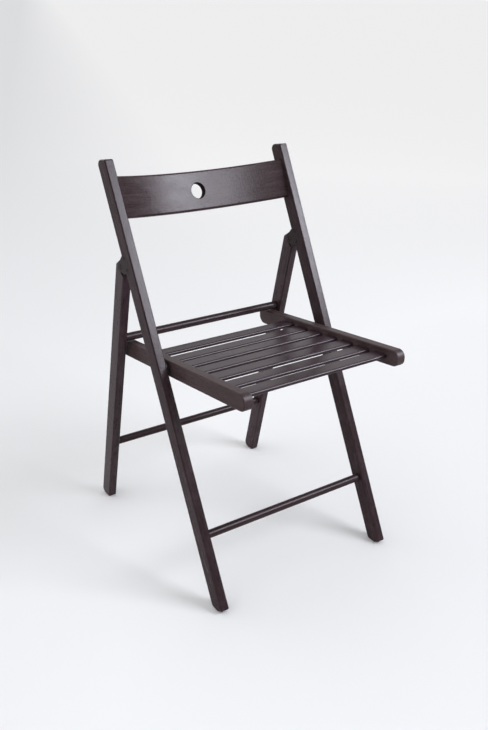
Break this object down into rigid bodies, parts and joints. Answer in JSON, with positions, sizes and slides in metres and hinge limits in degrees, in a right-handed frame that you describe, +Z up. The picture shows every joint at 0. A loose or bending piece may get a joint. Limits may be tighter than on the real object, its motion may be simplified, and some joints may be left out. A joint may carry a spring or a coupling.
{
  "type": "folding chair",
  "caption": "Dark stained wooden folding chair with a bent back panel, a round hanging hole, round rungs and a slatted seat that swings up as the rear legs fold flat.",
  "frame": {"origin": "on the floor under the middle of the open chair's bounding box", "axes": "+Z up; the front of the seat points to -Y; left in a node's name is the -X side"},
  "size_m": [0.4326, 0.5139, 0.7824],
  "materials": {
    "stained_wood": "dark brown-black stain under satin clear lacquer",
    "painted_steel": "dark brown satin paint",
    "plated_steel": "zinc plated, plain",
    "black_nylon": "black, matt"
  },
  "bodies": {
    "front_frame": {"long_leg_left": "stained_wood", "long_leg_right": "stained_wood", "back_panel": "stained_wood", "front_rung": "stained_wood", "hinge_plate_outer_left": "painted_steel", "hinge_plate_inner_left": "painted_steel", "hinge_plate_outer_right": "painted_steel", "hinge_plate_inner_right": "painted_steel", "hinge_pin_left": "painted_steel", "hinge_pin_right": "painted_steel", "plate_rivet_lower_left": "painted_steel", "plate_rivet_upper_left": "painted_steel", "plate_rivet_lower_right": "painted_steel", "plate_rivet_upper_right": "painted_steel", "seat_pin_left": "plated_steel", "seat_pin_right": "plated_steel", "seat_spacer_left": "black_nylon", "seat_spacer_right": "black_nylon"},
    "rear_frame": {"rear_leg_left": "stained_wood", "rear_leg_right": "stained_wood", "upper_rung": "stained_wood", "lower_rung": "stained_wood"},
    "seat": {"seat_rail_left": "stained_wood", "seat_rail_right": "stained_wood", "slat_1": "stained_wood", "slat_2": "stained_wood", "slat_3": "stained_wood", "slat_4": "stained_wood", "slat_5": "stained_wood", "slat_6": "stained_wood", "slat_7": "stained_wood", "seat_bush_left": "black_nylon", "seat_bush_right": "black_nylon"}
  },
  "joints": [
    {"name": "seat_fold", "type": "hinge", "parent": "front_frame", "child": "seat", "pos_m": [0, 0.00041, 0.42097], "axis": [-1, 0, 0], "range_deg": [0, 111.4]},
    {"name": "rear_leg_fold", "type": "hinge", "parent": "front_frame", "child": "rear_frame", "pos_m": [0, 0.12867, 0.59006], "axis": [-1, 0, 0], "range_deg": [0, 39.69]}
  ],
  "couplings": [
    {"joint": "rear_leg_fold", "follows": "seat_fold", "ratio": 0.3562}
  ]
}
